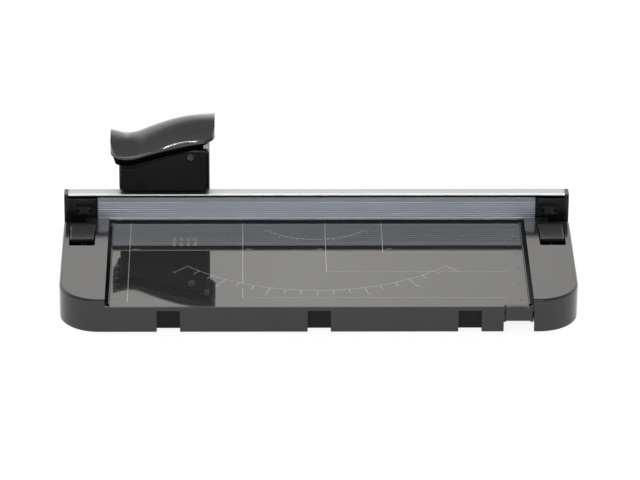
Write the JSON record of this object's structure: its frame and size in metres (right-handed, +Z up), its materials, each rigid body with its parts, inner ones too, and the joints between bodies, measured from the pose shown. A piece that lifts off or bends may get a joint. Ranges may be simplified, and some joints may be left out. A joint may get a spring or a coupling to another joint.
{
  "type": "rotary paper trimmer",
  "caption": "Tabletop rotary paper trimmer: a printed cutting table between raised arms, with a sliding blade head on an aluminium guide rail that presses down on the paper.",
  "frame": {"origin": "middle of the base's outline, on the surface that its feet stand on", "axes": "+X along the guide rail to the right, +Y away from the user, +Z up"},
  "size_m": [0.3872, 0.186, 0.103],
  "materials": {
    "housing_plastic": "dark grey satin moulding",
    "table_plastic": "polished dark grey with light grey printed lines",
    "guide_plastic": "dark grey satin",
    "strip_plastic": "grey soft plastic",
    "cover_plastic": "black matte moulding",
    "rubber": "black rubber",
    "screw_steel": "zinc plated",
    "spring_steel": "spring wire",
    "black_screw": "blackened screw",
    "rail_aluminium": "anodised extrusion with fine lengthwise lines",
    "bracket_plastic": "black satin moulding",
    "clear_strip": "clear plastic",
    "head_plastic": "black satin moulding",
    "plate_plastic": "black fine-grained moulding",
    "nylon": "light grey nylon",
    "handle_gloss": "polished dark grey",
    "handle_matte": "black satin moulding",
    "arm_steel": "black coated steel",
    "blade_steel": "ground steel",
    "hub_plastic": "red moulding"
  },
  "bodies": {
    "base": {"base_housing": "housing_plastic", "cutting_table": "table_plastic", "cutting_strip": "strip_plastic", "edge_guide_left": "guide_plastic", "edge_guide_right": "guide_plastic", "bottom_cover": "cover_plastic", "rubber_feet": "rubber", "bottom_screws": "screw_steel", "rail_lift_spring_left": "spring_steel", "rail_lift_spring_right": "spring_steel", "tab_pin_left": "screw_steel", "tab_pin_right": "screw_steel", "tab_spring_left": "spring_steel", "tab_spring_right": "spring_steel"},
    "rail": {"guide_rail": "rail_aluminium", "end_bracket_left": "bracket_plastic", "end_bracket_right": "bracket_plastic", "bracket_screws_left": "black_screw", "bracket_screws_right": "black_screw", "guide_bolt_left": "screw_steel", "guide_bolt_right": "screw_steel", "paper_clamp_strip": "clear_strip"},
    "carriage": {"carriage_housing": "head_plastic", "carriage_front_plate": "plate_plastic", "carriage_rear_cover": "head_plastic", "rear_cover_screws": "screw_steel", "carriage_shoe_left": "nylon", "carriage_shoe_right": "nylon", "shoe_screws": "screw_steel", "pivot_screw": "screw_steel", "handle_stop": "nylon", "handle_spring": "spring_steel"},
    "handle": {"handle_top_shell": "handle_gloss", "handle_lower_shell": "handle_matte", "blade_arm": "arm_steel", "handle_screws": "screw_steel", "blade_axle": "screw_steel"},
    "blade": {"rotary_blade": "blade_steel", "blade_hub": "hub_plastic"},
    "pull_out_guide": {"pull_out_guide": "housing_plastic"},
    "release_tab_left": {"release_tab_left": "housing_plastic"},
    "release_tab_right": {"release_tab_right": "housing_plastic"}
  },
  "joints": [
    {"name": "rail_press", "type": "slide", "parent": "base", "child": "rail", "axis": [0, 0, -1], "range_m": [0, 0.0013], "stiffness_N_per_m": 2000, "springref_m": -0.005, "deforming": ["rail_lift_spring_left", "rail_lift_spring_right"]},
    {"name": "carriage_slide", "type": "slide", "parent": "rail", "child": "carriage", "axis": [1, 0, 0], "range_m": [-0.0162, 0.25]},
    {"name": "handle_press", "type": "hinge", "parent": "carriage", "child": "handle", "pos_m": [-0.0964, 0, 0.0756], "axis": [0, -1, 0], "range_deg": [0, 4], "stiffness_Nm_per_rad": 1.4, "springref_deg": -6.88, "deforming": ["handle_spring"]},
    {"name": "blade_spin", "type": "hinge", "parent": "handle", "child": "blade", "pos_m": [-0.133, 0.071, 0.03952], "axis": [0, 1, 0], "continuous": true},
    {"name": "guide_pull", "type": "slide", "parent": "base", "child": "pull_out_guide", "axis": [0, -1, 0], "range_m": [0, 0.11]},
    {"name": "tab_left_press", "type": "hinge", "parent": "base", "child": "release_tab_left", "pos_m": [-0.1788, 0.0315, 0.0244], "axis": [1, 0, 0], "range_deg": [0, 5], "stiffness_Nm_per_rad": 0.25, "springref_deg": -4.58, "deforming": ["tab_spring_left"]},
    {"name": "tab_right_press", "type": "hinge", "parent": "base", "child": "release_tab_right", "pos_m": [0.1788, 0.0315, 0.0244], "axis": [1, 0, 0], "range_deg": [0, 5], "stiffness_Nm_per_rad": 0.25, "springref_deg": -4.58, "deforming": ["tab_spring_right"]}
  ],
  "couplings": [
    {"joint": "blade_spin", "follows": "carriage_slide", "rad_per_m": 71.429}
  ]
}
